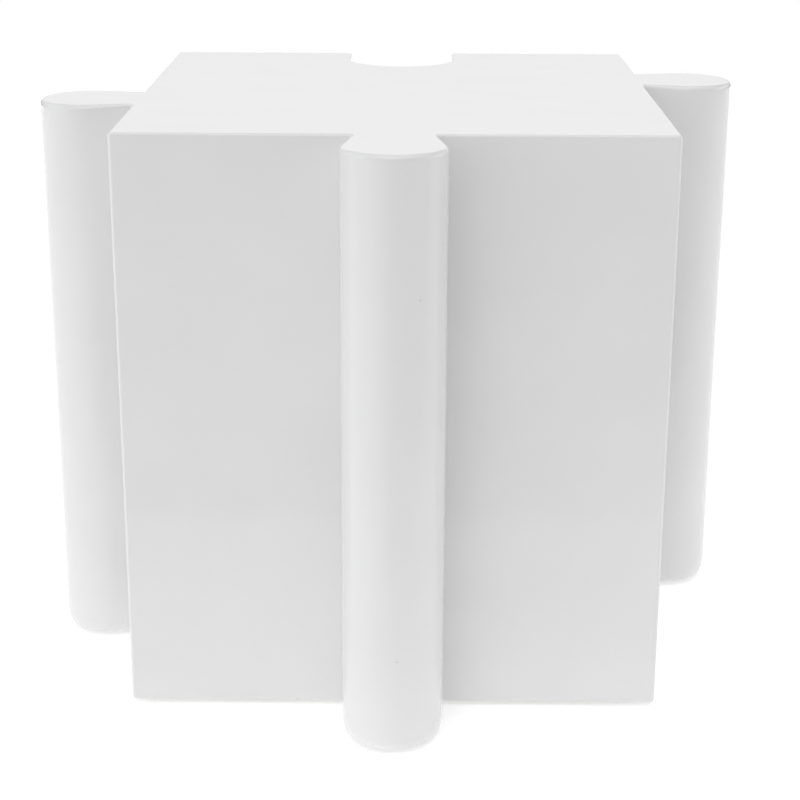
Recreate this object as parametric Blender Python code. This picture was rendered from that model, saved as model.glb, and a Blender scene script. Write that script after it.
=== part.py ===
"""Low display plinth with a jigsaw outline.

A square box stands on four recessed levelling feet. A round-headed tab runs the
full height of the front, left and right sides, and a U-shaped socket runs the
full height of the back, so that plinths nest side by side. The box is board on
timber battens. The finish that hides the board joints is not part of this model.

World frame: metres, +Z up, front tab towards -Y. The origin lies on the floor,
under the middle of the plinth's bounding box.
"""

from math import acos, asin, atan2, cos, degrees, pi, radians, sin, sqrt

import bmesh
import bpy
from mathutils import Vector

MM = 0.001

# ---------------------------------------------------------------- dimensions
BODY = 410.0 * MM          # width and depth of the square box
BOARD_TOP = 18.0 * MM      # top and base boards
BOARD_SIDE = 15.0 * MM     # side boards
SIDE_HEIGHT = 415.0 * MM   # between the top and base boards
REVEAL = 4.0 * MM          # underside of the base above the floor
GAP = 0.3 * MM             # glue line between touching pieces

TAB_NECK_HALF = 29.0 * MM  # half width of a tab where it leaves the box
TAB_HEAD_R = 37.5 * MM     # radius of a tab's round head
TAB_HEAD_OUT = 40.0 * MM   # head centre beyond the box's face
SIDE_TAB_SHIFT = 54.0 * MM  # left tab forward of centre, right tab behind it

SOCKET_X = 2.0 * MM        # socket's centre line, to the right of the box's
SOCKET_R = 46.5 * MM       # half width and end radius of the socket
SOCKET_DEPTH = 84.0 * MM
SOCKET_LIP_R = 6.0 * MM    # rounding where the socket meets the back
SKIN = 8.0 * MM            # bent skin that lines the socket

ARRIS = 1.6 * MM           # chamfer on the box's edges
TAB_TOP_ARRIS = 5.0 * MM   # chamfer round the tabs' tops
TAB_FOOT_ARRIS = 5.0 * MM  # chamfer under the tabs' round ends, inwards
TAB_FOOT_RISE = 9.0 * MM   # and upwards

BATTEN = 25.0 * MM
BRACE_T = 12.0 * MM

SCREW_R = 2.5 * MM         # wood screw shank
SCREW_HOLE_R = 2.8 * MM
SCREW_HEAD_R = 5.0 * MM
BASE_SCREW_LENGTH = 45.0 * MM
TAB_SCREW_LENGTH = 73.0 * MM
TAB_SCREW_Z = (140.0 * MM, 330.0 * MM)

FOOT_OUT = 139.0 * MM      # feet from the box's centre lines
POCKET_R = 23.0 * MM
POCKET_DEPTH = 9.0 * MM
BLOCK = 48.0 * MM
BLOCK_T = 18.0 * MM
PAD_R = 19.0 * MM
PAD_T = 5.0 * MM
THREAD_R = 3.9 * MM        # M8 thread, modelled at just under its crest
STEM_TOP = 52.0 * MM
HEX_ACROSS = 13.0 * MM
NUT_BORE_R = 4.2 * MM
NUT_BARREL_R = 5.2 * MM
NUT_FLANGE_R = 12.0 * MM

# ------------------------------------------------------------ derived places
HALF = BODY / 2
BASE_Z0 = REVEAL
BASE_Z1 = BASE_Z0 + BOARD_TOP
TOP_Z0 = BASE_Z1 + SIDE_HEIGHT
TOP_Z1 = TOP_Z0 + BOARD_TOP
SIDE_Z0 = BASE_Z1 + GAP
SIDE_Z1 = TOP_Z0 - GAP
INNER = HALF - BOARD_SIDE
PROTRUSION = TAB_HEAD_OUT + TAB_HEAD_R
CENTRE_Y = PROTRUSION / 2  # the front tab has no partner at the back
SOCKET_Y = HALF - SOCKET_DEPTH + SOCKET_R  # centre of the socket's round end

# A cheek runs straight from the box's face and meets the head tangentially.
_reach = sqrt(TAB_NECK_HALF**2 + TAB_HEAD_OUT**2)
_slope = atan2(TAB_HEAD_OUT, -TAB_NECK_HALF) - asin(TAB_HEAD_R / _reach)
_run = sqrt(_reach**2 - TAB_HEAD_R**2)
CHEEK_OUT = _run * sin(_slope)                   # tangent point beyond the face
CHEEK_HALF = TAB_NECK_HALF + _run * cos(_slope)  # tangent point's half width


def cheek_half_width(out):
    """Half width of a tab at a distance beyond the face, along its cheek."""
    return TAB_NECK_HALF + (CHEEK_HALF - TAB_NECK_HALF) * out / CHEEK_OUT


# ------------------------------------------------------------------- outlines
def arc(cx, cy, r, a0, a1, n):
    """n + 1 points from angle a0 to a1, in degrees."""
    return [
        (cx + r * cos(radians(a0 + (a1 - a0) * i / n)),
         cy + r * sin(radians(a0 + (a1 - a0) * i / n)))
        for i in range(n + 1)
    ]


def turned(points, quarter):
    """Points about the box's centre, turned by quarter turns to the left."""
    c, s = ((1, 0), (0, 1), (-1, 0), (0, -1))[quarter % 4]
    return [(c * x - s * y, s * x + c * y) for x, y in points]


def tab_outline(shift, segments=26):
    """A front tab's outline from its left root to its right root."""
    cy = -HALF - TAB_HEAD_OUT
    start = degrees(atan2(TAB_HEAD_OUT - CHEEK_OUT, -CHEEK_HALF))
    head = arc(shift, cy, TAB_HEAD_R, start, 540 - start, segments)
    return [(shift - TAB_NECK_HALF, -HALF)] + head + [(shift + TAB_NECK_HALF, -HALF)]


def corner(quarter):
    """The two points of a chamfered corner; quarter 0 is front left."""
    return turned([(-HALF, -HALF + ARRIS), (-HALF + ARRIS, -HALF)], quarter)


def plan_outline():
    """The whole plan, counter-clockwise from the front left corner."""
    right, left = SOCKET_X + SOCKET_R, SOCKET_X - SOCKET_R
    lip = HALF - SOCKET_LIP_R
    points = corner(0) + tab_outline(0.0)
    points += corner(1) + turned(tab_outline(SIDE_TAB_SHIFT), 1)
    points += corner(2)
    points += arc(right + SOCKET_LIP_R, lip, SOCKET_LIP_R, 90, 180, 4)
    points += arc(SOCKET_X, SOCKET_Y, SOCKET_R, 0, -180, 20)
    points += arc(left - SOCKET_LIP_R, lip, SOCKET_LIP_R, 0, 90, 4)
    points += corner(3) + turned(tab_outline(SIDE_TAB_SHIFT), 3)
    return points


def beyond_box(x, y):
    """How far a point of the outline lies beyond the box's nearest face."""
    return max(abs(x) - HALF, -HALF - y, 0.0)


def inset(points, distances):
    """Each point moved inwards by its own distance, square to its two edges."""
    count = len(points)
    moved = []
    for i, (x, y) in enumerate(points):
        before, here, after = (
            Vector(points[i - 1]), Vector((x, y)), Vector(points[(i + 1) % count]))
        a, b = (here - before).normalized(), (after - here).normalized()
        na, nb = Vector((-a.y, a.x)), Vector((-b.y, b.x))
        step = (na + nb) * (distances[i] / (1.0 + na.dot(nb)))
        moved.append((x + step.x, y + step.y))
    return moved


# --------------------------------------------------------------------- meshes
def loft(loops):
    """A closed mesh through loops of the same number of points, capped."""
    bm = bmesh.new()
    rings = [[bm.verts.new(p) for p in loop] for loop in loops]
    count = len(rings[0])
    for low, high in zip(rings, rings[1:]):
        for i in range(count):
            j = (i + 1) % count
            bm.faces.new((low[i], low[j], high[j], high[i]))
    bm.faces.new(list(reversed(rings[0])))
    bm.faces.new(rings[-1])
    bmesh.ops.recalc_face_normals(bm, faces=bm.faces)
    return bm


def prism(points, z0, z1):
    """A plan outline extruded between two heights."""
    return loft([[(x, y, z) for x, y in points] for z in (z0, z1)])


def revolve(profile, segments, closed=False):
    """A profile of (radius, z) turned about Z. An open profile starts and ends on the axis; a closed one makes a ring."""
    bm = bmesh.new()
    verts = []
    for r, z in profile:
        if r < 1e-9:
            verts.append([bm.verts.new((0, 0, z))])
        else:
            verts.append([
                bm.verts.new((r * cos(2 * pi * i / segments),
                              r * sin(2 * pi * i / segments), z))
                for i in range(segments)
            ])
    pairs = list(zip(verts, verts[1:])) + ([(verts[-1], verts[0])] if closed else [])
    for low, high in pairs:
        for i in range(segments):
            j = (i + 1) % segments
            quad = [low[i % len(low)], low[j % len(low)],
                    high[j % len(high)], high[i % len(high)]]
            face = []
            for v in quad:
                if v not in face:
                    face.append(v)
            if len(face) > 2:
                bm.faces.new(face)
    bmesh.ops.recalc_face_normals(bm, faces=bm.faces)
    return bm


# -------------------------------------------------------------------- objects
def material(name, colour, roughness, metallic=0.0, coat=0.0):
    mat = bpy.data.materials.new(name)
    mat.use_nodes = True
    shader = mat.node_tree.nodes["Principled BSDF"]
    shader.inputs["Base Color"].default_value = (*colour, 1.0)
    shader.inputs["Roughness"].default_value = roughness
    shader.inputs["Metallic"].default_value = metallic
    shader.inputs["Coat Weight"].default_value = coat
    mat.diffuse_color = (*colour, 1.0)
    return mat


def piece(name, bm, finish, parent, location=(0, 0, 0), turn=(0, 0, 0), smooth=False):
    """A named object with its own material."""
    mesh = bpy.data.meshes.new(name)
    bm.to_mesh(mesh)
    bm.free()
    obj = bpy.data.objects.new(name, mesh)
    bpy.context.scene.collection.objects.link(obj)
    mesh.materials.append(material(name + "_finish", *finish))
    if smooth:
        mesh.shade_smooth()
        mesh.set_sharp_from_angle(angle=radians(35))
    obj.parent = parent
    obj.location = location
    obj.rotation_euler = turn
    return obj


def cut(obj, bm, name, parent, location=(0, 0, 0), turn=(0, 0, 0)):
    """A cutter for obj, kept as a live Boolean."""
    mesh = bpy.data.meshes.new(name)
    bm.to_mesh(mesh)
    bm.free()
    cutter = bpy.data.objects.new(name, mesh)
    bpy.context.scene.collection.objects.link(cutter)
    cutter.parent = parent
    cutter.location = location
    cutter.rotation_euler = turn
    cutter.hide_render = True
    cutter.display_type = "WIRE"
    mod = obj.modifiers.new(name, "BOOLEAN")
    mod.operation = "DIFFERENCE"
    mod.solver = "EXACT"
    mod.object = cutter


def marker(name, parent, location, turn=(0, 0, 0)):
    empty = bpy.data.objects.new(name, None)
    empty.empty_display_size = 0.03
    bpy.context.scene.collection.objects.link(empty)
    empty.parent = parent
    empty.location = location
    empty.rotation_euler = turn
    return empty


for old in list(bpy.data.objects):
    bpy.data.objects.remove(old, do_unlink=True)

WHITE = ((0.86, 0.86, 0.86), 0.22, 0.0, 0.6)   # lacquered board
TIMBER = ((0.74, 0.56, 0.36), 0.7)
PLY = ((0.66, 0.50, 0.33), 0.65)
ZINC = ((0.62, 0.62, 0.60), 0.35, 1.0)
NYLON = ((0.045, 0.045, 0.05), 0.5)

plinth = marker("plinth_centre", None, (0, CENTRE_Y, 0))

# ------------------------------------------------------- top, base and brace
plan = plan_outline()


def ease_out(tab_arris):
    """The chamfer at each point of the plan, growing along the tabs' cheeks."""
    return [
        ARRIS + (tab_arris - ARRIS) * min(beyond_box(x, y) / CHEEK_OUT, 1.0)
        for x, y in plan
    ]


ease = ease_out(TAB_TOP_ARRIS)
top_in = inset(plan, ease)
piece("top_panel", loft([
    [(x, y, TOP_Z0) for x, y in plan],
    [(x, y, TOP_Z1 - e) for (x, y), e in zip(plan, ease)],
    [(x, y, TOP_Z1) for x, y in top_in],
]), WHITE, plinth)

rise = ease_out(TAB_FOOT_RISE)
base_in = inset(plan, ease_out(TAB_FOOT_ARRIS))
base = piece("base_panel", loft([
    [(x, y, BASE_Z0) for x, y in base_in],
    [(x, y, BASE_Z0 + e) for (x, y), e in zip(plan, rise)],
    [(x, y, BASE_Z1) for x, y in plan],
]), WHITE, plinth)

notch = INNER - BATTEN - 2 * GAP
inner = INNER - GAP
sock_b = SKIN + SOCKET_R + GAP          # brace clears the bent skin by this radius
sock_n = sock_b + BATTEN + 2 * GAP      # and the battens beside it
dip = degrees(asin((SOCKET_Y - notch) / sock_b))
brace_plan = [
    (-inner, -notch), (-notch, -notch), (-notch, -inner), (notch, -inner),
    (notch, -notch), (inner, -notch), (inner, notch), (notch, notch),
    (notch, inner), (SOCKET_X + sock_n, inner), (SOCKET_X + sock_n, notch),
]
brace_plan += arc(SOCKET_X, SOCKET_Y, sock_b, -dip, -180 + dip, 18)
brace_plan += [
    (SOCKET_X - sock_n, notch), (SOCKET_X - sock_n, inner), (-notch, inner),
    (-notch, notch), (-inner, notch),
]
brace_z = (SIDE_Z0 + SIDE_Z1) / 2
piece("mid_brace", prism(brace_plan, -BRACE_T / 2, BRACE_T / 2), PLY, plinth,
      (0, 0, brace_z))

# ---------------------------------------------------------------- side boards
# Mitred at the box's corners: half of the glue line is taken off each mitre.
mitre = GAP / 2 * sqrt(2)
edge_x = (BODY - ARRIS - mitre) / 2
edge_y = -(BODY - ARRIS + mitre) / 2
side_plan = [
    (-HALF + ARRIS, -HALF), (HALF - ARRIS, -HALF), (edge_x, edge_y),
    (INNER - mitre, -INNER), (-INNER + mitre, -INNER), (-edge_x, edge_y),
]
sides = {}
for name, quarter in (("front", 0), ("right", 1), ("left", 3)):
    sides[name] = piece(name + "_panel", prism(side_plan, SIDE_Z0, SIDE_Z1), WHITE,
                        plinth, (0, 0, 0), (0, 0, quarter * pi / 2))

socket_edge = SOCKET_R + SKIN + GAP
back_right = [
    (HALF - ARRIS, HALF), (SOCKET_X + socket_edge, HALF),
    (SOCKET_X + socket_edge, INNER), (INNER - mitre, INNER), (edge_x, -edge_y),
]
back_left = [
    (SOCKET_X - socket_edge, HALF), (-HALF + ARRIS, HALF), (-edge_x, -edge_y),
    (-INNER + mitre, INNER), (SOCKET_X - socket_edge, INNER),
]
piece("back_panel_right", prism(back_right, SIDE_Z0, SIDE_Z1), WHITE, plinth)
piece("back_panel_left", prism(back_left, SIDE_Z0, SIDE_Z1), WHITE, plinth)

# --------------------------------------------------------------------- socket
outer_r = SOCKET_R + SKIN
lip = HALF - SOCKET_LIP_R
skin_plan = [(SOCKET_X + outer_r, HALF)]
skin_plan += arc(SOCKET_X + SOCKET_R + SOCKET_LIP_R, lip, SOCKET_LIP_R, 90, 180, 4)
skin_plan += arc(SOCKET_X, SOCKET_Y, SOCKET_R, 0, -180, 20)
skin_plan += arc(SOCKET_X - SOCKET_R - SOCKET_LIP_R, lip, SOCKET_LIP_R, 0, 90, 4)
skin_plan += [(SOCKET_X - outer_r, HALF)]
skin_plan += arc(SOCKET_X, SOCKET_Y, outer_r, -180, 0, 20)
piece("socket_skin", prism(skin_plan, SIDE_Z0, SIDE_Z1), WHITE, plinth, smooth=True)

# -------------------------------------------------------------------- battens
def batten_plan():
    h, e = BATTEN / 2, 2 * MM
    return [(-h + e, -h), (h - e, -h), (h, -h + e), (h, h - e),
            (h - e, h), (-h + e, h), (-h, h - e), (-h, -h + e)]


batten_at = INNER - GAP - BATTEN / 2
screwed = []  # (name, x, y, piece the base screw bites into)
for fb, sy in (("front", -1), ("back", 1)):
    for lr, sx in (("left", -1), ("right", 1)):
        x, y = sx * batten_at, sy * batten_at
        post = piece(f"corner_batten_{fb}_{lr}", prism(batten_plan(), SIDE_Z0, SIDE_Z1),
                     TIMBER, plinth, (x, y, 0))
        screwed.append((f"{fb}_{lr}", x, y, post))
for lr, sx in (("left", -1), ("right", 1)):
    x = SOCKET_X + sx * (socket_edge + GAP + BATTEN / 2)
    post = piece(f"socket_batten_{lr}", prism(batten_plan(), SIDE_Z0, SIDE_Z1),
                 TIMBER, plinth, (x, batten_at, 0))
    screwed.append((f"socket_{lr}", x, batten_at, post))

# ----------------------------------------------------------------------- tabs
# Each tab is a tapered neck batten and a round nose, both full height. In its
# own frame a tab leaves the face at y = 0 towards -Y.
neck_out = CHEEK_OUT - GAP / 2
neck_plan = [
    (-cheek_half_width(neck_out), -neck_out), (cheek_half_width(neck_out), -neck_out),
    (cheek_half_width(GAP), -GAP), (-cheek_half_width(GAP), -GAP),
]
nose_back = CHEEK_OUT + GAP / 2
nose_start = 180 - degrees(acos(-(TAB_HEAD_OUT - nose_back) / TAB_HEAD_R) - pi / 2)
nose_plan = arc(0, -TAB_HEAD_OUT, TAB_HEAD_R, nose_start, 540 - nose_start, 24)


def tab_screw_hole(length):
    """A pilot hole along -Y, from inside the box."""
    return revolve([(0, 0), (SCREW_HOLE_R, 0), (SCREW_HOLE_R, length), (0, length)], 12)


def tab_screw():
    """A pan-head screw along +Z, its head's underside at z = 0."""
    tip = TAB_SCREW_LENGTH
    return revolve([
        (0, -1.6 * MM), (1.5 * MM, -1.6 * MM), (1.9 * MM, -3.5 * MM), (4.2 * MM, -3.2 * MM),
        (5.6 * MM, -1.4 * MM), (5.6 * MM, 0), (SCREW_R, 0), (SCREW_R, tip - 5 * MM), (0, tip),
    ], 12)


inside = HALF - INNER + GAP            # a screw head rests here, inside the board
for name, quarter, shift in (("front", 0, 0.0), ("right", 1, SIDE_TAB_SHIFT),
                             ("left", 3, SIDE_TAB_SHIFT)):
    (rx, ry), = turned([(shift, -HALF)], quarter)
    spin = quarter * pi / 2
    root = marker(f"{name}_tab_root", plinth, (rx, ry, 0), (0, 0, spin))
    neck = piece(f"{name}_tab_neck", prism(neck_plan, SIDE_Z0, SIDE_Z1), WHITE, root)
    nose = piece(f"{name}_tab_nose", prism(nose_plan, SIDE_Z0, SIDE_Z1), WHITE, root,
                 smooth=True)
    for level, z in zip(("lower", "upper"), TAB_SCREW_Z):
        # turned so that the screw's +Z points out of the box
        seat = marker(f"{name}_tab_screw_seat_{level}", root, (0, inside, z), (pi / 2, 0, 0))
        piece(f"{name}_tab_screw_{level}", tab_screw(), ZINC, seat, smooth=True)
        for target, part_name in ((sides[name], "panel"), (neck, "neck"), (nose, "nose")):
            cut(target, tab_screw_hole(TAB_SCREW_LENGTH + 3 * MM),
                f"{name}_{part_name}_pilot_{level}", seat)
    out = 50 * MM
    (bx, by), = turned([(shift, -HALF - out)], quarter)
    screwed.append((f"{name}_tab", bx, by, nose))

# ---------------------------------------------------------------- base screws
def base_screw():
    """A countersunk screw along +Z, its flush face at z = 0."""
    cone = 2.7 * MM
    return revolve([
        (0, 1.7 * MM), (1.7 * MM, 1.7 * MM), (1.9 * MM, 0), (SCREW_HEAD_R, 0),
        (SCREW_R, cone), (SCREW_R, BASE_SCREW_LENGTH - 5 * MM), (0, BASE_SCREW_LENGTH),
    ], 12)


def countersink():
    """Clearance hole and countersink for one base screw."""
    return revolve([
        (0, -6 * MM), (5.5 * MM, -6 * MM), (5.5 * MM, 0.1 * MM), (SCREW_HOLE_R, 3.0 * MM),
        (SCREW_HOLE_R, BASE_SCREW_LENGTH + 2 * MM), (0, BASE_SCREW_LENGTH + 2 * MM),
    ], 12)


head_z = BASE_Z0 + 0.4 * MM
for name, x, y, target in screwed:
    piece(f"base_screw_{name}", base_screw(), ZINC, plinth, (x, y, head_z), smooth=True)
    cut(base, countersink(), f"base_hole_{name}", plinth, (x, y, head_z))
    cut(target, countersink(), f"pilot_{name}", plinth, (x, y, head_z))

# ----------------------------------------------------------------------- feet
pocket_z = BASE_Z0 + POCKET_DEPTH
barrel_hole = NUT_BARREL_R + 0.4 * MM
block_z0, block_z1 = BASE_Z1 + GAP, BASE_Z1 + GAP + BLOCK_T
flange_z1 = pocket_z - GAP
flange_z0 = flange_z1 - 1.5 * MM
collar_z0, collar_z1 = PAD_T + 0.6 * MM, flange_z0 - 0.6 * MM


def pocket():
    """Foot recess and nut hole, from below the base up through the block."""
    top = block_z1 + 5 * MM
    return revolve([
        (0, -5 * MM), (POCKET_R, -5 * MM), (POCKET_R, pocket_z), (barrel_hole, pocket_z),
        (barrel_hole, top), (0, top),
    ], 32)


def tee_nut():
    return revolve([
        (NUT_BORE_R, flange_z0), (NUT_FLANGE_R, flange_z0), (NUT_FLANGE_R, flange_z1),
        (NUT_BARREL_R, flange_z1), (NUT_BARREL_R, 31 * MM), (NUT_BORE_R, 31 * MM),
    ], 16, closed=True)


def foot_stem():
    """Swivel spigot, hexagon collar and threaded shank."""
    def ring(r, z):
        return [(r * cos(pi / 6 * i), r * sin(pi / 6 * i), z) for i in range(12)]

    def hexagon(z, scale=1.0):
        flat = HEX_ACROSS / 2 * scale
        radii = (flat / cos(pi / 6), flat)
        return [(radii[i % 2] * cos(pi / 6 * i), radii[i % 2] * sin(pi / 6 * i), z)
                for i in range(12)]

    return loft([
        ring(3.2 * MM, 2.6 * MM), ring(4.0 * MM, 3.4 * MM), ring(4.0 * MM, collar_z0),
        hexagon(collar_z0, 0.94), hexagon(collar_z0 + 0.5 * MM),
        hexagon(collar_z1 - 0.5 * MM), hexagon(collar_z1, 0.94),
        ring(THREAD_R, collar_z1), ring(THREAD_R, STEM_TOP - 1 * MM),
        ring(THREAD_R - 1 * MM, STEM_TOP),
    ])


def foot_pad():
    """Round pad with a blind seat for the stem's spigot."""
    return revolve([
        (0, 0), (PAD_R - 1.5 * MM, 0), (PAD_R, 1.5 * MM), (PAD_R, PAD_T - 1.4 * MM),
        (PAD_R - 1.4 * MM, PAD_T), (4.4 * MM, PAD_T), (4.4 * MM, 2.2 * MM), (0, 2.2 * MM),
    ], 32)


for fb, sy in (("front", -1), ("back", 1)):
    for lr, sx in (("left", -1), ("right", 1)):
        where = f"{fb}_{lr}"
        axis = marker(f"foot_axis_{where}", plinth, (sx * FOOT_OUT, sy * FOOT_OUT, 0))
        half = BLOCK / 2
        square = [(-half, -half), (half, -half), (half, half), (-half, half)]
        block = piece(f"foot_block_{where}", prism(square, block_z0, block_z1), PLY, axis)
        piece(f"tee_nut_{where}", tee_nut(), ZINC, axis, smooth=True)
        piece(f"foot_stem_{where}", foot_stem(), ZINC, axis, smooth=True)
        piece(f"foot_pad_{where}", foot_pad(), NYLON, axis, smooth=True)
        cut(base, pocket(), f"base_pocket_{where}", axis)
        cut(block, pocket(), f"block_hole_{where}", axis)

bpy.context.view_layer.update()
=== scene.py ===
"""Looks for the jigsaw display plinth: seamless white lacquer over the boarded box, raw board, timber, zinc and nylon underneath."""

import math

import bmesh
import bpy
from mathutils import Matrix, Vector, noise
from mathutils.geometry import delaunay_2d_cdt


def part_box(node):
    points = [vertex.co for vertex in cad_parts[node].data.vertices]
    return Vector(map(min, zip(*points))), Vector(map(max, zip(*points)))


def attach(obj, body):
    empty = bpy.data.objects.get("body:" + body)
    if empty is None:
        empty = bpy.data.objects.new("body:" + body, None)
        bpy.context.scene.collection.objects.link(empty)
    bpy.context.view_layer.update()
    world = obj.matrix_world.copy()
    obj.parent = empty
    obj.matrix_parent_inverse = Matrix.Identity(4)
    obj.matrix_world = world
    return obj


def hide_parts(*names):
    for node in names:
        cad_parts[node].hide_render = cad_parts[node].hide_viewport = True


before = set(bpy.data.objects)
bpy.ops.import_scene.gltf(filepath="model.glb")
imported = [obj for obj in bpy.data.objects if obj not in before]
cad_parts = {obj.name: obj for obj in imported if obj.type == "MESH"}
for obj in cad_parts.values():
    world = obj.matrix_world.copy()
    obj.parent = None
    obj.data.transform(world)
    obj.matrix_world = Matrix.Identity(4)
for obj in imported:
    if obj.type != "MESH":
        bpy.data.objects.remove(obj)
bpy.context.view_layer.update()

MM = 0.001
scene = bpy.context.scene

# The box, read from the frame.
HALF = -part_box("left_panel")[0].x
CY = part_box("front_panel")[0].y + HALF
Z_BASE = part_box("base_panel")[0].z
Z_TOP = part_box("top_panel")[1].z

# The plan's own dimensions, as in the CAD.
NECK = 29.0 * MM
HEAD_R = 37.5 * MM
HEAD_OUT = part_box("front_tab_nose")[0].y * -1 + CY - HALF - HEAD_R
SHIFT = 54.0 * MM
SOCKET_X = 2.0 * MM
SOCKET_R = 46.5 * MM
SOCKET_Y = HALF - 84.0 * MM + SOCKET_R
LIP_R = 6.0 * MM

# The finish.
COAT = 0.40 * MM        # lacquer's outer face beyond the boards
COAT_T = 0.25 * MM      # its thickness, so that it stands just clear of them
CORNER_R = 2.6 * MM     # upright corners
ROOT_R = 2.6 * MM       # fillet where a tab leaves the box
TOP_R = 2.2 * MM        # top arris of the box
TAB_TOP_R = 4.2 * MM    # top arris of the tabs' round ends
FOOT_R = 2.6 * MM       # bottom arris of the box
TAB_FOOT_RUN = 5.0 * MM   # bottom arris of the tabs' round ends, inwards
TAB_FOOT_RISE = 12.0 * MM  # and upwards


# ---------------------------------------------------------------- node helpers
def new_material(name):
    mat = bpy.data.materials.new(name)
    mat.use_nodes = True
    tree = mat.node_tree
    return mat, tree, tree.nodes["Principled BSDF"]


def node(tree, kind, **values):
    n = tree.nodes.new(kind)
    for key, value in values.items():
        if key.startswith("in_"):
            n.inputs[key[3:].replace("_", " ")].default_value = value
        else:
            setattr(n, key, value)
    return n


def coords(tree, scale=(1, 1, 1), offset=(0, 0, 0), turn=(0, 0, 0)):
    """Object coordinates, which are the row frame, because every object sits at the origin."""
    tc = node(tree, "ShaderNodeTexCoord")
    mp = node(tree, "ShaderNodeMapping")
    mp.inputs["Scale"].default_value = scale
    mp.inputs["Location"].default_value = offset
    mp.inputs["Rotation"].default_value = turn
    tree.links.new(tc.outputs["Object"], mp.inputs["Vector"])
    return mp.outputs["Vector"]


def fractal(tree, vector, scale, detail=2.0, rough=0.5):
    n = node(tree, "ShaderNodeTexNoise")
    n.inputs["Scale"].default_value = scale
    n.inputs["Detail"].default_value = detail
    n.inputs["Roughness"].default_value = rough
    tree.links.new(vector, n.inputs["Vector"])
    return n.outputs["Fac"]


def math_node(tree, op, a, b=None, c=None, clamp=False):
    n = node(tree, "ShaderNodeMath", operation=op, use_clamp=clamp)
    for i, v in enumerate((a, b, c)):
        if v is None:
            continue
        if isinstance(v, (int, float)):
            n.inputs[i].default_value = v
        else:
            tree.links.new(v, n.inputs[i])
    return n.outputs[0]


def ramp(tree, fac, stops, interpolation="LINEAR"):
    n = node(tree, "ShaderNodeValToRGB")
    n.color_ramp.interpolation = interpolation
    els = n.color_ramp.elements
    while len(els) < len(stops):
        els.new(0.5)
    for e, (pos, col) in zip(els, stops):
        e.position = pos
        e.color = (*col, 1.0) if len(col) == 3 else col
    tree.links.new(fac, n.inputs["Fac"])
    return n.outputs["Color"]


def mapped(tree, fac, lo, hi, from_lo=0.0, from_hi=1.0):
    n = node(tree, "ShaderNodeMapRange")
    n.inputs["From Min"].default_value = from_lo
    n.inputs["From Max"].default_value = from_hi
    n.inputs["To Min"].default_value = lo
    n.inputs["To Max"].default_value = hi
    tree.links.new(fac, n.inputs["Value"])
    return n.outputs["Result"]


def mix_colour(tree, fac, a, b):
    n = node(tree, "ShaderNodeMix", data_type="RGBA")
    for socket, v in ((n.inputs[0], fac), (n.inputs[6], a), (n.inputs[7], b)):
        if isinstance(v, (tuple, list)):
            socket.default_value = (*v, 1.0) if len(v) == 3 else v
        elif isinstance(v, (int, float)):
            socket.default_value = v
        else:
            tree.links.new(v, socket)
    return n.outputs[2]


def bump(tree, height, distance, strength=1.0, under=None):
    n = node(tree, "ShaderNodeBump")
    n.inputs["Distance"].default_value = distance
    n.inputs["Strength"].default_value = strength
    tree.links.new(height, n.inputs["Height"])
    if under is not None:
        tree.links.new(under, n.inputs["Normal"])
    return n.outputs["Normal"]


def spot(tree, point, inner, outer):
    """1 at a point, falling to 0 at a radius."""
    tc = node(tree, "ShaderNodeTexCoord")
    n = node(tree, "ShaderNodeVectorMath", operation="DISTANCE")
    n.inputs[1].default_value = point
    tree.links.new(tc.outputs["Object"], n.inputs[0])
    m = node(tree, "ShaderNodeMapRange", interpolation_type="SMOOTHSTEP")
    m.inputs["From Min"].default_value = inner
    m.inputs["From Max"].default_value = outer
    m.inputs["To Min"].default_value = 1.0
    m.inputs["To Max"].default_value = 0.0
    tree.links.new(n.outputs["Value"], m.inputs["Value"])
    return m.outputs["Result"]


# ------------------------------------------------------------------- materials
def lacquer_material():
    mat, tree, bsdf = new_material("white_gloss_lacquer")
    at = coords(tree)
    cloud = fractal(tree, at, 14.0, 3.0)
    tone = mix_colour(tree, mapped(tree, cloud, 0.0, 1.0, 0.3, 0.7),
                      (0.795, 0.795, 0.797), (0.815, 0.815, 0.816))
    # Two dust pits on the front tab and a chip at the foot of the front face.
    pits = None
    for p, inner, outer in (
        (Vector((0.01874, CY - 0.27850, 0.35302)), 0.3 * MM, 1.0 * MM),
        (Vector((0.00357, CY - 0.28315, 0.07845)), 0.25 * MM, 0.95 * MM),
        (Vector((-0.07546, CY - HALF - COAT, Z_BASE)), 0.6 * MM, 2.0 * MM),
    ):
        s = spot(tree, p, inner, outer)
        pits = s if pits is None else math_node(tree, "MAXIMUM", pits, s)
    tone = mix_colour(tree, math_node(tree, "MULTIPLY", pits, 0.5), tone, (0.42, 0.41, 0.40))
    tree.links.new(tone, bsdf.inputs["Base Color"])
    rough = mapped(tree, fractal(tree, at, 30.0, 2.0), 0.06, 0.10, 0.3, 0.7)
    tree.links.new(rough, bsdf.inputs["Roughness"])
    bsdf.inputs["IOR"].default_value = 1.5
    sag = fractal(tree, at, 11.0, 1.0)
    peel = fractal(tree, at, 300.0, 2.0, 0.6)
    n = bump(tree, sag, 0.30 * MM)
    n = bump(tree, peel, 0.004 * MM, under=n)
    n = bump(tree, math_node(tree, "MULTIPLY", pits, -1.0), 0.25 * MM, under=n)
    tree.links.new(n, bsdf.inputs["Normal"])
    return mat


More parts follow.
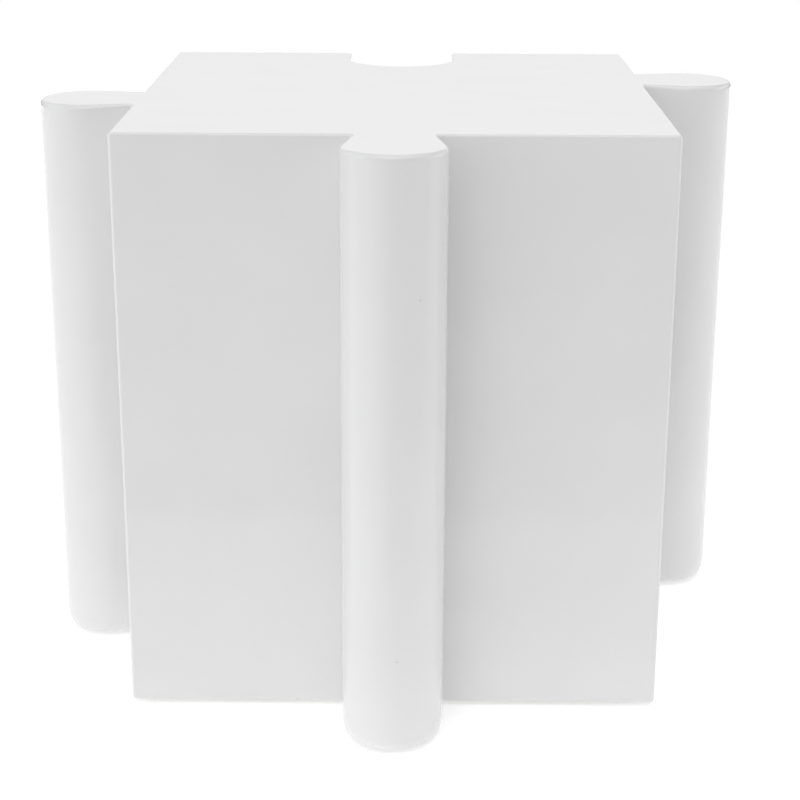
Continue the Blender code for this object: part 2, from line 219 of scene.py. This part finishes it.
def board_material():
    """Fibreboard: fine flecks and a faint cloudy tone."""
    mat, tree, bsdf = new_material("sealed_fibreboard")
    at = coords(tree)
    fleck = fractal(tree, at, 900.0, 4.0, 0.7)
    cloud = fractal(tree, at, 25.0, 3.0)
    base = ramp(tree, fleck, [(0.25, (0.235, 0.150, 0.085)), (0.5, (0.40, 0.275, 0.165)),
                              (0.75, (0.52, 0.385, 0.25))])
    base = mix_colour(tree, mapped(tree, cloud, 0.0, 0.35, 0.3, 0.7), base, (0.30, 0.20, 0.12))
    tree.links.new(base, bsdf.inputs["Base Color"])
    tree.links.new(mapped(tree, fleck, 0.62, 0.8), bsdf.inputs["Roughness"])
    tree.links.new(bump(tree, fleck, 0.05 * MM), bsdf.inputs["Normal"])
    return mat


def underside_material():
    """The base board: sealed fibreboard, its rim misted with lacquer overspray."""
    mat, tree, bsdf = new_material("base_board_underside")
    at = coords(tree)
    fleck = fractal(tree, at, 900.0, 4.0, 0.7)
    base = ramp(tree, fleck, [(0.25, (0.225, 0.145, 0.085)), (0.5, (0.38, 0.265, 0.16)),
                              (0.75, (0.50, 0.375, 0.245))])
    sep = node(tree, "ShaderNodeSeparateXYZ")
    tree.links.new(at, sep.inputs[0])
    ax = math_node(tree, "ABSOLUTE", sep.outputs["X"])
    ay = math_node(tree, "ABSOLUTE", math_node(tree, "SUBTRACT", sep.outputs["Y"], CY))
    edge = math_node(tree, "MAXIMUM", ax, ay)
    ragged = math_node(tree, "MULTIPLY_ADD", fractal(tree, at, 60.0, 4.0, 0.65), 0.016, edge)
    mist = mapped(tree, ragged, 0.0, 1.0, HALF - 0.040, HALF + 0.004)
    tone = mix_colour(tree, mist, base, (0.78, 0.78, 0.77))
    tree.links.new(tone, bsdf.inputs["Base Color"])
    tree.links.new(mapped(tree, mist, 0.72, 0.5), bsdf.inputs["Roughness"])
    tree.links.new(bump(tree, fleck, 0.05 * MM), bsdf.inputs["Normal"])
    return mat


def timber_material():
    """Planed softwood, its grain along Z."""
    mat, tree, bsdf = new_material("planed_softwood")
    wave_at = coords(tree, scale=(1, 1, 0.06), turn=(0.05, 0.09, 0))
    wave = node(tree, "ShaderNodeTexWave", wave_type="RINGS", rings_direction="Z")
    wave.inputs["Scale"].default_value = 75.0
    wave.inputs["Distortion"].default_value = 4.0
    wave.inputs["Detail"].default_value = 3.0
    wave.inputs["Detail Scale"].default_value = 1.4
    tree.links.new(wave_at, wave.inputs["Vector"])
    fibre = fractal(tree, coords(tree, scale=(1, 1, 0.03)), 1500.0, 3.0)
    tone = ramp(tree, wave.outputs["Fac"], [(0.0, (0.70, 0.50, 0.29)), (0.6, (0.62, 0.42, 0.23)),
                                           (1.0, (0.45, 0.27, 0.13))])
    tone = mix_colour(tree, mapped(tree, fibre, 0.0, 0.4), tone, (0.78, 0.60, 0.38))
    tree.links.new(tone, bsdf.inputs["Base Color"])
    tree.links.new(mapped(tree, fibre, 0.55, 0.72), bsdf.inputs["Roughness"])
    tree.links.new(bump(tree, fibre, 0.05 * MM), bsdf.inputs["Normal"])
    return mat


def ply_material():
    """Birch plywood: pale face grain along X, alternating veneers up its edges."""
    mat, tree, bsdf = new_material("birch_plywood")
    at = coords(tree)
    grain = fractal(tree, coords(tree, scale=(0.04, 1, 1)), 420.0, 4.0, 0.6)
    sep = node(tree, "ShaderNodeSeparateXYZ")
    tree.links.new(at, sep.inputs[0])
    layer = math_node(tree, "FRACT", math_node(tree, "MULTIPLY", sep.outputs["Z"], 1.0 / (2.8 * MM)))
    dark = math_node(tree, "GREATER_THAN", layer, 0.5)
    face = ramp(tree, grain, [(0.3, (0.60, 0.44, 0.28)), (0.7, (0.74, 0.59, 0.41))])
    tone = mix_colour(tree, math_node(tree, "MULTIPLY", dark, 0.45), face, (0.38, 0.25, 0.14))
    tree.links.new(tone, bsdf.inputs["Base Color"])
    tree.links.new(mapped(tree, grain, 0.5, 0.68), bsdf.inputs["Roughness"])
    tree.links.new(bump(tree, grain, 0.06 * MM), bsdf.inputs["Normal"])
    return mat


def zinc_material():
    """Bright zinc plate with a faint spangle and a warm passivation tint."""
    mat, tree, bsdf = new_material("zinc_plate")
    at = coords(tree)
    cell = node(tree, "ShaderNodeTexVoronoi")
    cell.inputs["Scale"].default_value = 700.0
    tree.links.new(at, cell.inputs["Vector"])
    blotch = fractal(tree, at, 180.0, 3.0)
    tone = mix_colour(tree, mapped(tree, blotch, 0.0, 1.0, 0.35, 0.65),
                      (0.60, 0.61, 0.62), (0.66, 0.63, 0.55))
    tree.links.new(tone, bsdf.inputs["Base Color"])
    bsdf.inputs["Metallic"].default_value = 1.0
    tree.links.new(mapped(tree, cell.outputs["Distance"], 0.26, 0.42), bsdf.inputs["Roughness"])
    tree.links.new(bump(tree, cell.outputs["Distance"], 0.01 * MM), bsdf.inputs["Normal"])
    return mat


def nylon_material():
    mat, tree, bsdf = new_material("black_nylon")
    at = coords(tree)
    grain = fractal(tree, at, 1800.0, 3.0, 0.6)
    tone = ramp(tree, fractal(tree, at, 120.0, 2.0), [(0.3, (0.020, 0.020, 0.022)), (0.7, (0.036, 0.036, 0.038))])
    tree.links.new(tone, bsdf.inputs["Base Color"])
    tree.links.new(mapped(tree, grain, 0.42, 0.6), bsdf.inputs["Roughness"])
    tree.links.new(bump(tree, grain, 0.03 * MM), bsdf.inputs["Normal"])
    return mat


LACQUER = lacquer_material()
BOARD = board_material()
UNDERSIDE = underside_material()
TIMBER = timber_material()
PLY = ply_material()
ZINC = zinc_material()
NYLON = nylon_material()

for name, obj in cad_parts.items():
    if name == "base_panel":
        finish = UNDERSIDE
    elif "batten" in name:
        finish = TIMBER
    elif name.startswith(("mid_brace", "foot_block", "socket_skin")):
        finish = PLY
    elif "screw" in name or name.startswith(("tee_nut", "foot_stem")):
        finish = ZINC
    elif name.startswith("foot_pad"):
        finish = NYLON
    else:
        finish = BOARD
    obj.data.materials.clear()
    obj.data.materials.append(finish)


# ------------------------------------------------------------------ the outline
def arc(cx, cy, r, a0, a1, n):
    return [(cx + r * math.cos(math.radians(a0 + (a1 - a0) * i / n)),
             cy + r * math.sin(math.radians(a0 + (a1 - a0) * i / n))) for i in range(n + 1)]


def turned(points, quarter):
    c, s = ((1, 0), (0, 1), (-1, 0), (0, -1))[quarter % 4]
    return [(c * p[0] - s * p[1], s * p[0] + c * p[1]) + tuple(p[2:]) for p in points]


reach = math.sqrt(NECK**2 + HEAD_OUT**2)
slope = math.atan2(HEAD_OUT, -NECK) - math.asin(HEAD_R / reach)
run = math.sqrt(reach**2 - HEAD_R**2)
CHEEK_OUT, CHEEK_HALF = run * math.sin(slope), NECK + run * math.cos(slope)


def tab(shift):
    """A front tab from root to root; the roots carry a fillet radius."""
    start = math.degrees(math.atan2(HEAD_OUT - CHEEK_OUT, -CHEEK_HALF))
    head = arc(shift, -HALF - HEAD_OUT, HEAD_R, start, 540 - start, 72)
    root = ROOT_R + COAT
    return ([(shift - NECK, -HALF, root)] + [(x, y, 0.0) for x, y in head]
            + [(shift + NECK, -HALF, root)])


def plan():
    """The boards' plan as (x, y, fillet radius), counter-clockwise from the front left."""
    r = CORNER_R - COAT
    right, left, lip = SOCKET_X + SOCKET_R, SOCKET_X - SOCKET_R, HALF - LIP_R
    pts = [(-HALF, -HALF, r)] + tab(0.0) + [(HALF, -HALF, r)]
    pts += turned(tab(SHIFT), 1) + [(HALF, HALF, r)]
    back = arc(right + LIP_R, lip, LIP_R, 90, 180, 10)
    back += arc(SOCKET_X, SOCKET_Y, SOCKET_R, 0, -180, 56)
    back += arc(left - LIP_R, lip, LIP_R, 0, 90, 10)
    pts += [(x, y, 0.0) for x, y in back]
    pts += [(-HALF, HALF, r)] + turned(tab(SHIFT), 3)
    return pts


def filleted(points, segments=6):
    out = []
    n = len(points)
    for i, (x, y, r) in enumerate(points):
        if r <= 0:
            out.append(Vector((x, y)))
            continue
        p = Vector((x, y))
        a = (Vector(points[i - 1][:2]) - p).normalized()
        b = (Vector(points[(i + 1) % n][:2]) - p).normalized()
        half = a.angle(b) / 2
        centre = p + (a + b).normalized() * (r / math.sin(half))
        length = r / math.tan(half)
        v0, v1 = p + a * length - centre, p + b * length - centre
        sweep = v0.angle_signed(v1)
        for k in range(segments + 1):
            t = -sweep * k / segments
            c, s = math.cos(t), math.sin(t)
            out.append(centre + Vector((c * v0.x - s * v0.y, s * v0.x + c * v0.y)))
    return out


def dense(points, step=11 * MM, hold=0.6 * MM):
    """Straight runs broken up, with a point close to each end."""
    out = []
    n = len(points)
    for i, p in enumerate(points):
        q = points[(i + 1) % n]
        out.append(p)
        d = q - p
        if d.length < 6 * MM:
            continue
        u = d.normalized()
        a, b = p + u * hold, q - u * hold
        count = max(1, round((b - a).length / step))
        out += [a.lerp(b, k / count) for k in range(count + 1)]
    return out


def moved(points, distances):
    """Each point moved into the material by its own distance, square to its edges."""
    n = len(points)
    out = []
    for i, p in enumerate(points):
        a = (p - points[i - 1]).normalized()
        b = (points[(i + 1) % n] - p).normalized()
        na, nb = Vector((-a.y, a.x)), Vector((-b.y, b.x))
        out.append(p + (na + nb) * (distances[i] / (1.0 + na.dot(nb))))
    return out


# --------------------------------------------------------------- lacquer coat
def encloses(rim, p):
    """Whether the closed line round rim goes round p."""
    inside = False
    for i, b in enumerate(rim):
        a = rim[i - 1]
        if (a.y > p.y) != (b.y > p.y) and p.x < a.x + (b.x - a.x) * (p.y - a.y) / (b.y - a.y):
            inside = not inside
    return inside


def level_cap(verts, faces, first, count, downwards=False, pitch=24 * MM):
    """Closes a level ring of verts with even triangles, on a lattice of points inside it."""
    rim = [Vector(verts[first + i][:2]) for i in range(count)]
    z = verts[first][2]
    x0, x1 = min(p.x for p in rim), max(p.x for p in rim)
    y0, y1 = min(p.y for p in rim), max(p.y for p in rim)
    lattice = []
    for row in range(int((y1 - y0) / pitch) + 1):
        for column in range(int((x1 - x0) / pitch) + 1):
            p = Vector((x0 + (column + 0.5 * (row % 2) + 0.25) * pitch, y0 + (row + 0.5) * pitch))
            if min((q - p).length for q in rim) > 0.45 * pitch and encloses(rim, p):
                lattice.append(p)
    edges = [(i, (i + 1) % count) for i in range(count)]
    points, _, triangles, sources, _, _ = delaunay_2d_cdt(rim + lattice, edges, [], 0, 1e-8, True)
    index = []
    for p, source in zip(points, sources):
        if min(source) < count:
            index.append(first + min(source))
        else:
            index.append(len(verts))
            verts.append((p.x, p.y, z))
    for triangle in triangles:
        if encloses(rim, (points[triangle[0]] + points[triangle[1]] + points[triangle[2]]) / 3):
            corners = [index[k] for k in triangle]
            faces.append(tuple(reversed(corners)) if downwards else tuple(corners))


def lacquer_coat():
    """One thin closed shell over the whole box, open underneath, with real arrises."""
    boards = dense(filleted(plan()))
    count = len(boards)
    rim = moved(boards, [-COAT] * count)
    out_by = [max(abs(p.x) - HALF, -HALF - p.y, 0.0) for p in boards]
    def eased(box, tab):
        return [box + (tab - box) * min(o / CHEEK_OUT, 1.0) for o in out_by]

    foot, rise, head = eased(FOOT_R, TAB_FOOT_RUN), eased(FOOT_R, TAB_FOOT_RISE), eased(TOP_R, TAB_TOP_R)
    z0, z1 = Z_BASE - COAT, Z_TOP + COAT

    def ring(inset, z):
        pts = moved(rim, inset)
        return [(p.x, p.y + CY, h) for p, h in zip(pts, z)]

    outer, inner = [], []
    steps = 9
    outer.append(ring([f + 0.15 * MM for f in foot], [z0] * count))
    inner.append(ring([f + 0.15 * MM for f in foot], [z0 + COAT_T] * count))
    for k in range(steps + 1):
        a = math.radians(90 * k / steps)
        s, c = math.sin(a), math.cos(a)
        outer.append(ring([f * (1 - s) for f in foot], [z0 + f * (1 - c) for f in rise]))
        inner.append(ring([f * (1 - s) + COAT_T * s for f in foot],
                          [z0 + f * (1 - c) + COAT_T * c for f in rise]))
    outer.append(ring([0] * count, [z0 + f + 0.6 * MM for f in rise]))
    low, high = z0 + 15 * MM, z1 - 9 * MM
    levels = 34
    for k in range(levels + 1):
        outer.append(ring([0] * count, [low + (high - low) * k / levels] * count))
    outer.append(ring([0] * count, [z1 - h - 0.6 * MM for h in head]))
    for k in range(steps + 1):
        a = math.radians(90 * k / steps)
        s, c = math.sin(a), math.cos(a)
        outer.append(ring([h * (1 - c) for h in head], [z1 - h * (1 - s) for h in head]))
        inner.append(ring([h * (1 - c) + COAT_T * c for h in head],
                          [z1 - h * (1 - s) - COAT_T * s for h in head]))
    outer.append(ring([h + 0.15 * MM for h in head], [z1] * count))

    # The filled faces aren't dead flat: a long, shallow wave, outwards only.
    normals = []
    for i in range(count):
        a = (rim[i] - rim[i - 1]).normalized()
        b = (rim[(i + 1) % count] - rim[i]).normalized()
        t = (a + b).normalized()
        normals.append(Vector((t.y, -t.x)))
    waved = []
    for r in outer:
        row = []
        for (x, y, z), n in zip(r, normals):
            w = noise.noise(Vector((x * 7.0, y * 7.0, z * 4.0 + 3.7)))
            lift = 0.22 * MM * (0.5 + 0.5 * w)
            row.append((x + n.x * lift, y + n.y * lift, z))
        waved.append(row)

    verts, faces = [], []
    for r in waved + inner:
        verts += r
    for k in range(len(waved) - 1):
        for i in range(count):
            j = (i + 1) % count
            faces.append((k * count + i, k * count + j, (k + 1) * count + j, (k + 1) * count + i))
    base = len(waved) * count
    for k in range(len(inner) - 1):
        for i in range(count):
            j = (i + 1) % count
            faces.append((base + k * count + j, base + k * count + i,
                          base + (k + 1) * count + i, base + (k + 1) * count + j))
    for i in range(count):
        j = (i + 1) % count
        faces.append((i, base + i, base + j, j))
    level_cap(verts, faces, (len(waved) - 1) * count, count)
    level_cap(verts, faces, base + (len(inner) - 1) * count, count, downwards=True)
    mesh = bpy.data.meshes.new("lacquer_coat")
    mesh.from_pydata(verts, [], faces)
    mesh.validate()
    mesh.shade_smooth()
    mesh.set_sharp_from_angle(angle=math.radians(50))
    obj = bpy.data.objects.new("lacquer_coat", mesh)
    scene.collection.objects.link(obj)
    mesh.materials.append(LACQUER)
    return obj


coat = lacquer_coat()
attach(coat, "plinth")


# -------------------------------------------------------------- feet and screws
def lathe(rings, segments, squash=None):
    """Verts and faces of a turned solid: (radius, z) rings from the axis round to it."""
    verts, faces, rows = [], [], []
    for r, z in rings:
        if r < 1e-7:
            rows.append([len(verts)])
            verts.append((0.0, 0.0, z))
            continue
        rows.append(list(range(len(verts), len(verts) + segments)))
        for i in range(segments):
            a = 2 * math.pi * i / segments
            k = squash(r, z, a) if squash else 1.0
            verts.append((r * k * math.cos(a), r * k * math.sin(a), z))
    for lower, upper in zip(rows, rows[1:]):
        for i in range(segments):
            j = (i + 1) % segments
            if len(lower) == 1:
                faces.append((lower[0], upper[j], upper[i]))
            elif len(upper) == 1:
                faces.append((lower[i], lower[j], upper[0]))
            else:
                faces.append((lower[i], lower[j], upper[j], upper[i]))
    return verts, faces


def rounded(corners, radius, steps=4):
    """A profile with each inner corner rounded off."""
    out = [corners[0]]
    for p, q, r in zip(corners, corners[1:], corners[2:]):
        a, c, b = Vector(p), Vector(q), Vector(r)
        u, v = a - c, b - c
        d = min(radius, u.length * 0.45, v.length * 0.45)
        u, v = u.normalized(), v.normalized()
        if abs(u.dot(v)) > 0.999 or d < 0.02 * MM:
            out.append(tuple(c))
            continue
        p0, p1 = c + u * d, c + v * d
        for k in range(steps + 1):
            t = k / steps
            out.append(tuple(p0 * (1 - t) ** 2 + c * 2 * t * (1 - t) + p1 * t * t))
    out.append(corners[-1])
    return out


def made(name, verts, faces, at, finish, angle=35):
    mesh = bpy.data.meshes.new(name)
    mesh.from_pydata([(x + at[0], y + at[1], z + at[2]) for x, y, z in verts], [], faces)
    bm = bmesh.new()
    bm.from_mesh(mesh)
    bmesh.ops.recalc_face_normals(bm, faces=bm.faces)
    bm.to_mesh(mesh)
    bm.free()
    mesh.validate()
    mesh.shade_smooth()
    mesh.set_sharp_from_angle(angle=math.radians(angle))
    obj = bpy.data.objects.new(name, mesh)
    scene.collection.objects.link(obj)
    mesh.materials.append(finish)
    return obj


def pad_profile(height):
    """A moulded pad: grip rings underneath, a dished top and a raised seat."""
    under = [(0, 0.7), (2.2, 0.7), (2.6, 0.0)]
    r = 3.4
    while r < 16.0:
        under += [(r, 0.0), (r + 0.35, 0.55), (r + 0.95, 0.55), (r + 1.3, 0.0)]
        r += 2.6
    top = height / MM
    rest = [(17.4, 0.0), (19.0, 1.5), (19.0, top - 1.6), (17.4, top), (15.2, top),
            (14.4, top - 1.1), (8.2, top - 1.1), (7.2, top), (4.4, top), (4.4, 2.2), (0, 2.2)]
    return [(x * MM, z * MM) for x, z in rounded(under, 0.15) + rounded(rest, 0.8)]


THREAD = [0.62, 1.0, 1.0, 0.62, 0.25, 0.0, 0.0, 0.25]   # one pitch, root to crest


def stem_mesh(z_hex0, z_hex1, top):
    """Spigot, hexagon collar and an M8 x 1.25 thread that runs out at both ends."""
    pitch, per, n = 1.25 * MM, 8, 36
    crest, root = 3.93 * MM, 3.25 * MM
    hexa = 6.5 * MM

    def hex_scale(r, z, a):
        if not z_hex0 - 1e-6 <= z <= z_hex1 + 1e-6 or r < 4.3 * MM:
            return 1.0
        off = (a + math.pi / 6) % (math.pi / 3) - math.pi / 6
        return min(hexa / math.cos(off) / r, 1.0)

    rings = [(0, 2.7 * MM), (2.4 * MM, 2.7 * MM), (3.5 * MM, 3.1 * MM), (3.95 * MM, 3.7 * MM),
             (3.95 * MM, z_hex0), (6.4 * MM, z_hex0), (6.9 * MM, z_hex0 + 0.2 * MM),
             (7.5 * MM, z_hex0 + 0.65 * MM), (7.5 * MM, (z_hex0 + z_hex1) / 2),
             (7.5 * MM, z_hex1 - 0.65 * MM), (6.9 * MM, z_hex1 - 0.2 * MM), (6.4 * MM, z_hex1),
             (3.6 * MM, z_hex1 + 0.02 * MM)]
    verts, faces = lathe(rings, n, hex_scale)
    start = z_hex1 + 0.4 * MM
    count = int((top - 0.9 * MM - start) / (pitch / per))
    last = list(range(len(verts) - n, len(verts)))
    for k in range(count + 1):
        z = start + k * pitch / per
        ends = min(k / per, (count - k) / per / 1.5, 1.0)
        row = list(range(len(verts), len(verts) + n))
        for i in range(n):
            a = 2 * math.pi * i / n
            phase = (k - per * i / n) % per
            lo_, t = int(phase) % per, phase % 1.0
            h = THREAD[lo_] * (1 - t) + THREAD[(lo_ + 1) % per] * t
            r = root + (crest - root) * h * ends
            verts.append((r * math.cos(a), r * math.sin(a), z))
        for i in range(n):
            j = (i + 1) % n
            faces.append((last[i], last[j], row[j], row[i]))
        last = row
    for r, z in ((3.0 * MM, top - 0.35 * MM), (2.4 * MM, top)):
        row = list(range(len(verts), len(verts) + n))
        verts += [(r * math.cos(2 * math.pi * i / n), r * math.sin(2 * math.pi * i / n), z)
                  for i in range(n)]
        for i in range(n):
            j = (i + 1) % n
            faces.append((last[i], last[j], row[j], row[i]))
        last = row
    faces.append(tuple(last))
    return verts, faces


def nut_mesh(z0, z1, top):
    """Tee nut: thin pressed flange with a rounded rim, and a bored barrel."""
    loop = [(4.5, z0 / MM), (11.4, z0 / MM), (12.0, z0 / MM + 0.45), (12.0, z1 / MM - 0.3),
            (11.7, z1 / MM), (6.2, z1 / MM), (5.2, z1 / MM + 0.9), (5.2, top / MM - 0.3),
            (4.9, top / MM), (4.25, top / MM), (4.1, top / MM - 0.5), (4.1, z0 / MM + 0.5)]
    n, verts, faces = 48, [], []
    for r, z in loop:
        for i in range(n):
            a = 2 * math.pi * i / n
            verts.append((r * MM * math.cos(a), r * MM * math.sin(a), z * MM))
    for k in range(len(loop)):
        m = (k + 1) % len(loop)
        for i in range(n):
            j = (i + 1) % n
            faces.append((k * n + i, k * n + j, m * n + j, m * n + i))
    return verts, faces


def screw_mesh(length):
    """A countersunk screw along +Z, its face at z = 0, with a tapered cross recess."""
    n = 48
    arm, reach_ = 0.62, 2.35
    cross = [(reach_, -arm * 0.7), (reach_, arm * 0.7), (arm, arm), (arm * 0.7, reach_), (-arm * 0.7, reach_),
             (-arm, arm), (-reach_, arm * 0.7), (-reach_, -arm * 0.7), (-arm, -arm), (-arm * 0.7, -reach_),
             (arm * 0.7, -reach_), (arm, -arm)]
    side = [(4.55, 0.0), (4.85, 0.06), (4.98, 0.28), (4.98, 0.42), (2.75, 2.55), (2.5, 2.9),
            (2.5, length / MM - 6.0), (1.5, length / MM - 2.6), (0.35, length / MM)]
    verts = [(x * MM, y * MM, 0.0) for x, y in cross]
    verts += [(x * 0.62 * MM, y * 0.62 * MM, 1.9 * MM) for x, y in cross]
    faces = [(i, (i + 1) % 12, 12 + (i + 1) % 12, 12 + i) for i in range(12)]
    faces.append(tuple(range(12, 24)))
    rim = len(verts)
    for r, z in side:
        verts += [(r * MM * math.cos(2 * math.pi * i / n), r * MM * math.sin(2 * math.pi * i / n), z * MM)
                  for i in range(n)]
    for k in range(len(side) - 1):
        for i in range(n):
            j = (i + 1) % n
            a = rim + k * n
            faces.append((a + i, a + j, a + n + j, a + n + i))
    faces.append(tuple(rim + (len(side) - 1) * n + i for i in range(n)))
    # the face: each rim point is joined to the nearest point of the cross
    order = [min(range(12), key=lambda c: (cross[c][0] - 4.5 * math.cos(2 * math.pi * i / n)) ** 2
                 + (cross[c][1] - 4.5 * math.sin(2 * math.pi * i / n)) ** 2) for i in range(n)]
    for i in range(n):
        j = (i + 1) % n
        a, b = order[i], order[j]
        steps_ = (b - a) % 12
        if steps_ > 6:
            steps_ -= 12
        fan, c = [], a
        while c != b:
            d = (c + (1 if steps_ > 0 else -1)) % 12
            fan.append((c, d))
            c = d
        for c, d in fan:
            faces.append((rim + i, d, c))
        faces.append((rim + i, rim + j, b))
    return verts, faces


for where in ("front_left", "front_right", "back_left", "back_right"):
    low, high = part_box("foot_pad_" + where)
    at = ((low.x + high.x) / 2, (low.y + high.y) / 2, 0.0)
    pad = made("pad_" + where, *lathe(pad_profile(high.z), 72), at, NYLON)
    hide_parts("foot_pad_" + where)
    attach(pad, "foot_pad_" + where)
    nlow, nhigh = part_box("tee_nut_" + where)
    slow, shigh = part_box("foot_stem_" + where)
    stem = made("stem_" + where, *stem_mesh(high.z + 0.6 * MM, nlow.z - 0.6 * MM, shigh.z), at, ZINC)
    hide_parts("foot_stem_" + where)
    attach(stem, "foot_stem_" + where)
    nut = made("nut_" + where, *nut_mesh(nlow.z, nlow.z + 1.5 * MM, nhigh.z), at, ZINC)
    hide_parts("tee_nut_" + where)
    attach(nut, "plinth")

for name in sorted(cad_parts):
    if name.startswith("base_screw"):
        low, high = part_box(name)
        screw = made(name.replace("base_screw", "screw"), *screw_mesh(high.z - low.z),
                     ((low.x + high.x) / 2, (low.y + high.y) / 2, low.z), ZINC)
        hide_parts(name)
        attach(screw, "plinth")

# ------------------------------------------------------------------- the stage
# A sheet of white paper on a dim table: it glows a little, like a lit cyclorama, and ends
# in front of the plinth, so the gloss on the front face shows its edge.
PAPER_FRONT = CY - HALF - 0.379
floor_mesh = bpy.data.meshes.new("floor")
floor_mesh.from_pydata([(-3, PAPER_FRONT, 0), (3, PAPER_FRONT, 0), (3, 3, 0), (-3, 3, 0)],
                       [], [(0, 1, 2, 3)])
floor = bpy.data.objects.new("floor", floor_mesh)
scene.collection.objects.link(floor)
mat, tree, bsdf = new_material("pale_floor")
bsdf.inputs["Base Color"].default_value = (0.95, 0.95, 0.95, 1)
bsdf.inputs["Roughness"].default_value = 0.9
bsdf.inputs["Specular IOR Level"].default_value = 0.0
bsdf.inputs["Emission Color"].default_value = (1, 1, 1, 1)
bsdf.inputs["Emission Strength"].default_value = 0.30
# Seen from underneath it lets the view through, so that the feet can be looked at.
clear = node(tree, "ShaderNodeBsdfTransparent")
either = node(tree, "ShaderNodeMixShader")
tree.links.new(node(tree, "ShaderNodeNewGeometry").outputs["Backfacing"], either.inputs[0])
tree.links.new(bsdf.outputs[0], either.inputs[1])
tree.links.new(clear.outputs[0], either.inputs[2])
tree.links.new(either.outputs[0], tree.nodes["Material Output"].inputs["Surface"])
floor_mesh.materials.append(mat)

# ---------------------------------------------------------------------- camera
PITCH, YAW, ROLL = 0.29918, 0.006713, 0.004259
cam_data = bpy.data.cameras.new("camera")
cam_data.sensor_fit = "HORIZONTAL"
cam_data.sensor_width = 36.0
cam_data.lens = 79.288
cam_data.shift_y = -0.08
cam_data.clip_start, cam_data.clip_end = 0.01, 100
camera = bpy.data.objects.new("camera", cam_data)
scene.collection.objects.link(camera)
cp, sp, cy_, sy_ = math.cos(PITCH), math.sin(PITCH), math.cos(YAW), math.sin(YAW)
fwd = Vector((-sy_ * cp, cy_ * cp, -sp))
right = Vector((cy_, sy_, 0))
up = Vector((-sy_ * sp, cy_ * sp, cp))
cr, sr = math.cos(ROLL), math.sin(ROLL)
rx, ux = right * cr + up * sr, up * cr - right * sr
m = Matrix((rx, ux, -fwd)).transposed().to_4x4()
m.translation = Vector((0.012611, -1.447331 + CY, 0.688027))
camera.matrix_world = m
scene.camera = camera
scene.view_settings.view_transform = "Standard"
scene.view_settings.look = "None"

# ----------------------------------------------------------------------- light
# Soft sources all round the sky, as azimuth (0 in front of the plinth, 90 at its right),
# elevation, radius and strength, in degrees; those below the horizon are the dim table
# beyond the paper. What the camera sees past the floor is white.
SOURCES = [
    (-120, 8, 26, 0.39), (-75, 8, 26, 1.87), (-35, 8, 26, 0.64), (95, 8, 26, 2.07), (120, 8, 26, 0.96),
    (-105, 32, 30, 0.72), (-45, 32, 30, 0.50), (-15, 32, 30, 0.90), (45, 32, 30, 0.35), (75, 32, 30, 0.29),
    (0, 62, 30, 1.69), (90, 62, 30, 0.87), (270, 62, 30, 0.60), (0, 90, 35, 0.77),
    (180, 10, 45, 0.82), (225, 12, 42, 0.20), (135, 12, 42, 0.20), (180, 40, 40, 0.54),
    (0, -30, 70, 0.18), (300, -25, 50, 1.03), (60, -25, 50, 0.80), (0, -20, 35, 0.55), (180, -6, 18, 1.15),
]
world = bpy.data.worlds.new("studio")
scene.world = world
world.use_nodes = True
wt = world.node_tree
background = wt.nodes["Background"]
sky_at = node(wt, "ShaderNodeTexCoord").outputs["Generated"]
parts = node(wt, "ShaderNodeSeparateXYZ")
wt.links.new(sky_at, parts.inputs[0])
sums = {True: None, False: None}
for azimuth, elevation, radius, strength in SOURCES:
    a, e = math.radians(azimuth), math.radians(elevation)
    toward = node(wt, "ShaderNodeVectorMath", operation="DOT_PRODUCT")
    wt.links.new(sky_at, toward.inputs[0])
    toward.inputs[1].default_value = (math.sin(a) * math.cos(e), -math.cos(a) * math.cos(e), math.sin(e))
    lobe = node(wt, "ShaderNodeMapRange", interpolation_type="SMOOTHSTEP")
    lobe.inputs["From Min"].default_value = math.cos(math.radians(radius))
    lobe.inputs["From Max"].default_value = 1.0
    lobe.inputs["To Min"].default_value = 0.0
    lobe.inputs["To Max"].default_value = strength
    wt.links.new(toward.outputs["Value"], lobe.inputs["Value"])
    up = elevation > 0
    sums[up] = (lobe.outputs["Result"] if sums[up] is None
                else math_node(wt, "ADD", sums[up], lobe.outputs["Result"]))
level = {}
for up in (True, False):
    edge = node(wt, "ShaderNodeMapRange", interpolation_type="SMOOTHSTEP")
    edge.inputs["From Min"].default_value = -0.02
    edge.inputs["From Max"].default_value = 0.02
    edge.inputs["To Min"].default_value = 0.0 if up else 1.0
    edge.inputs["To Max"].default_value = 1.0 if up else 0.0
    wt.links.new(parts.outputs["Z"], edge.inputs["Value"])
    level[up] = math_node(wt, "MULTIPLY", sums[up], edge.outputs["Result"])
light = math_node(wt, "ADD", level[True], level[False])
seen = node(wt, "ShaderNodeLightPath").outputs["Is Camera Ray"]
shown = math_node(wt, "ADD", math_node(wt, "MULTIPLY", light, math_node(wt, "SUBTRACT", 1.0, seen)), seen)
background.inputs["Color"].default_value = (1, 1, 1, 1)
wt.links.new(shown, background.inputs["Strength"])
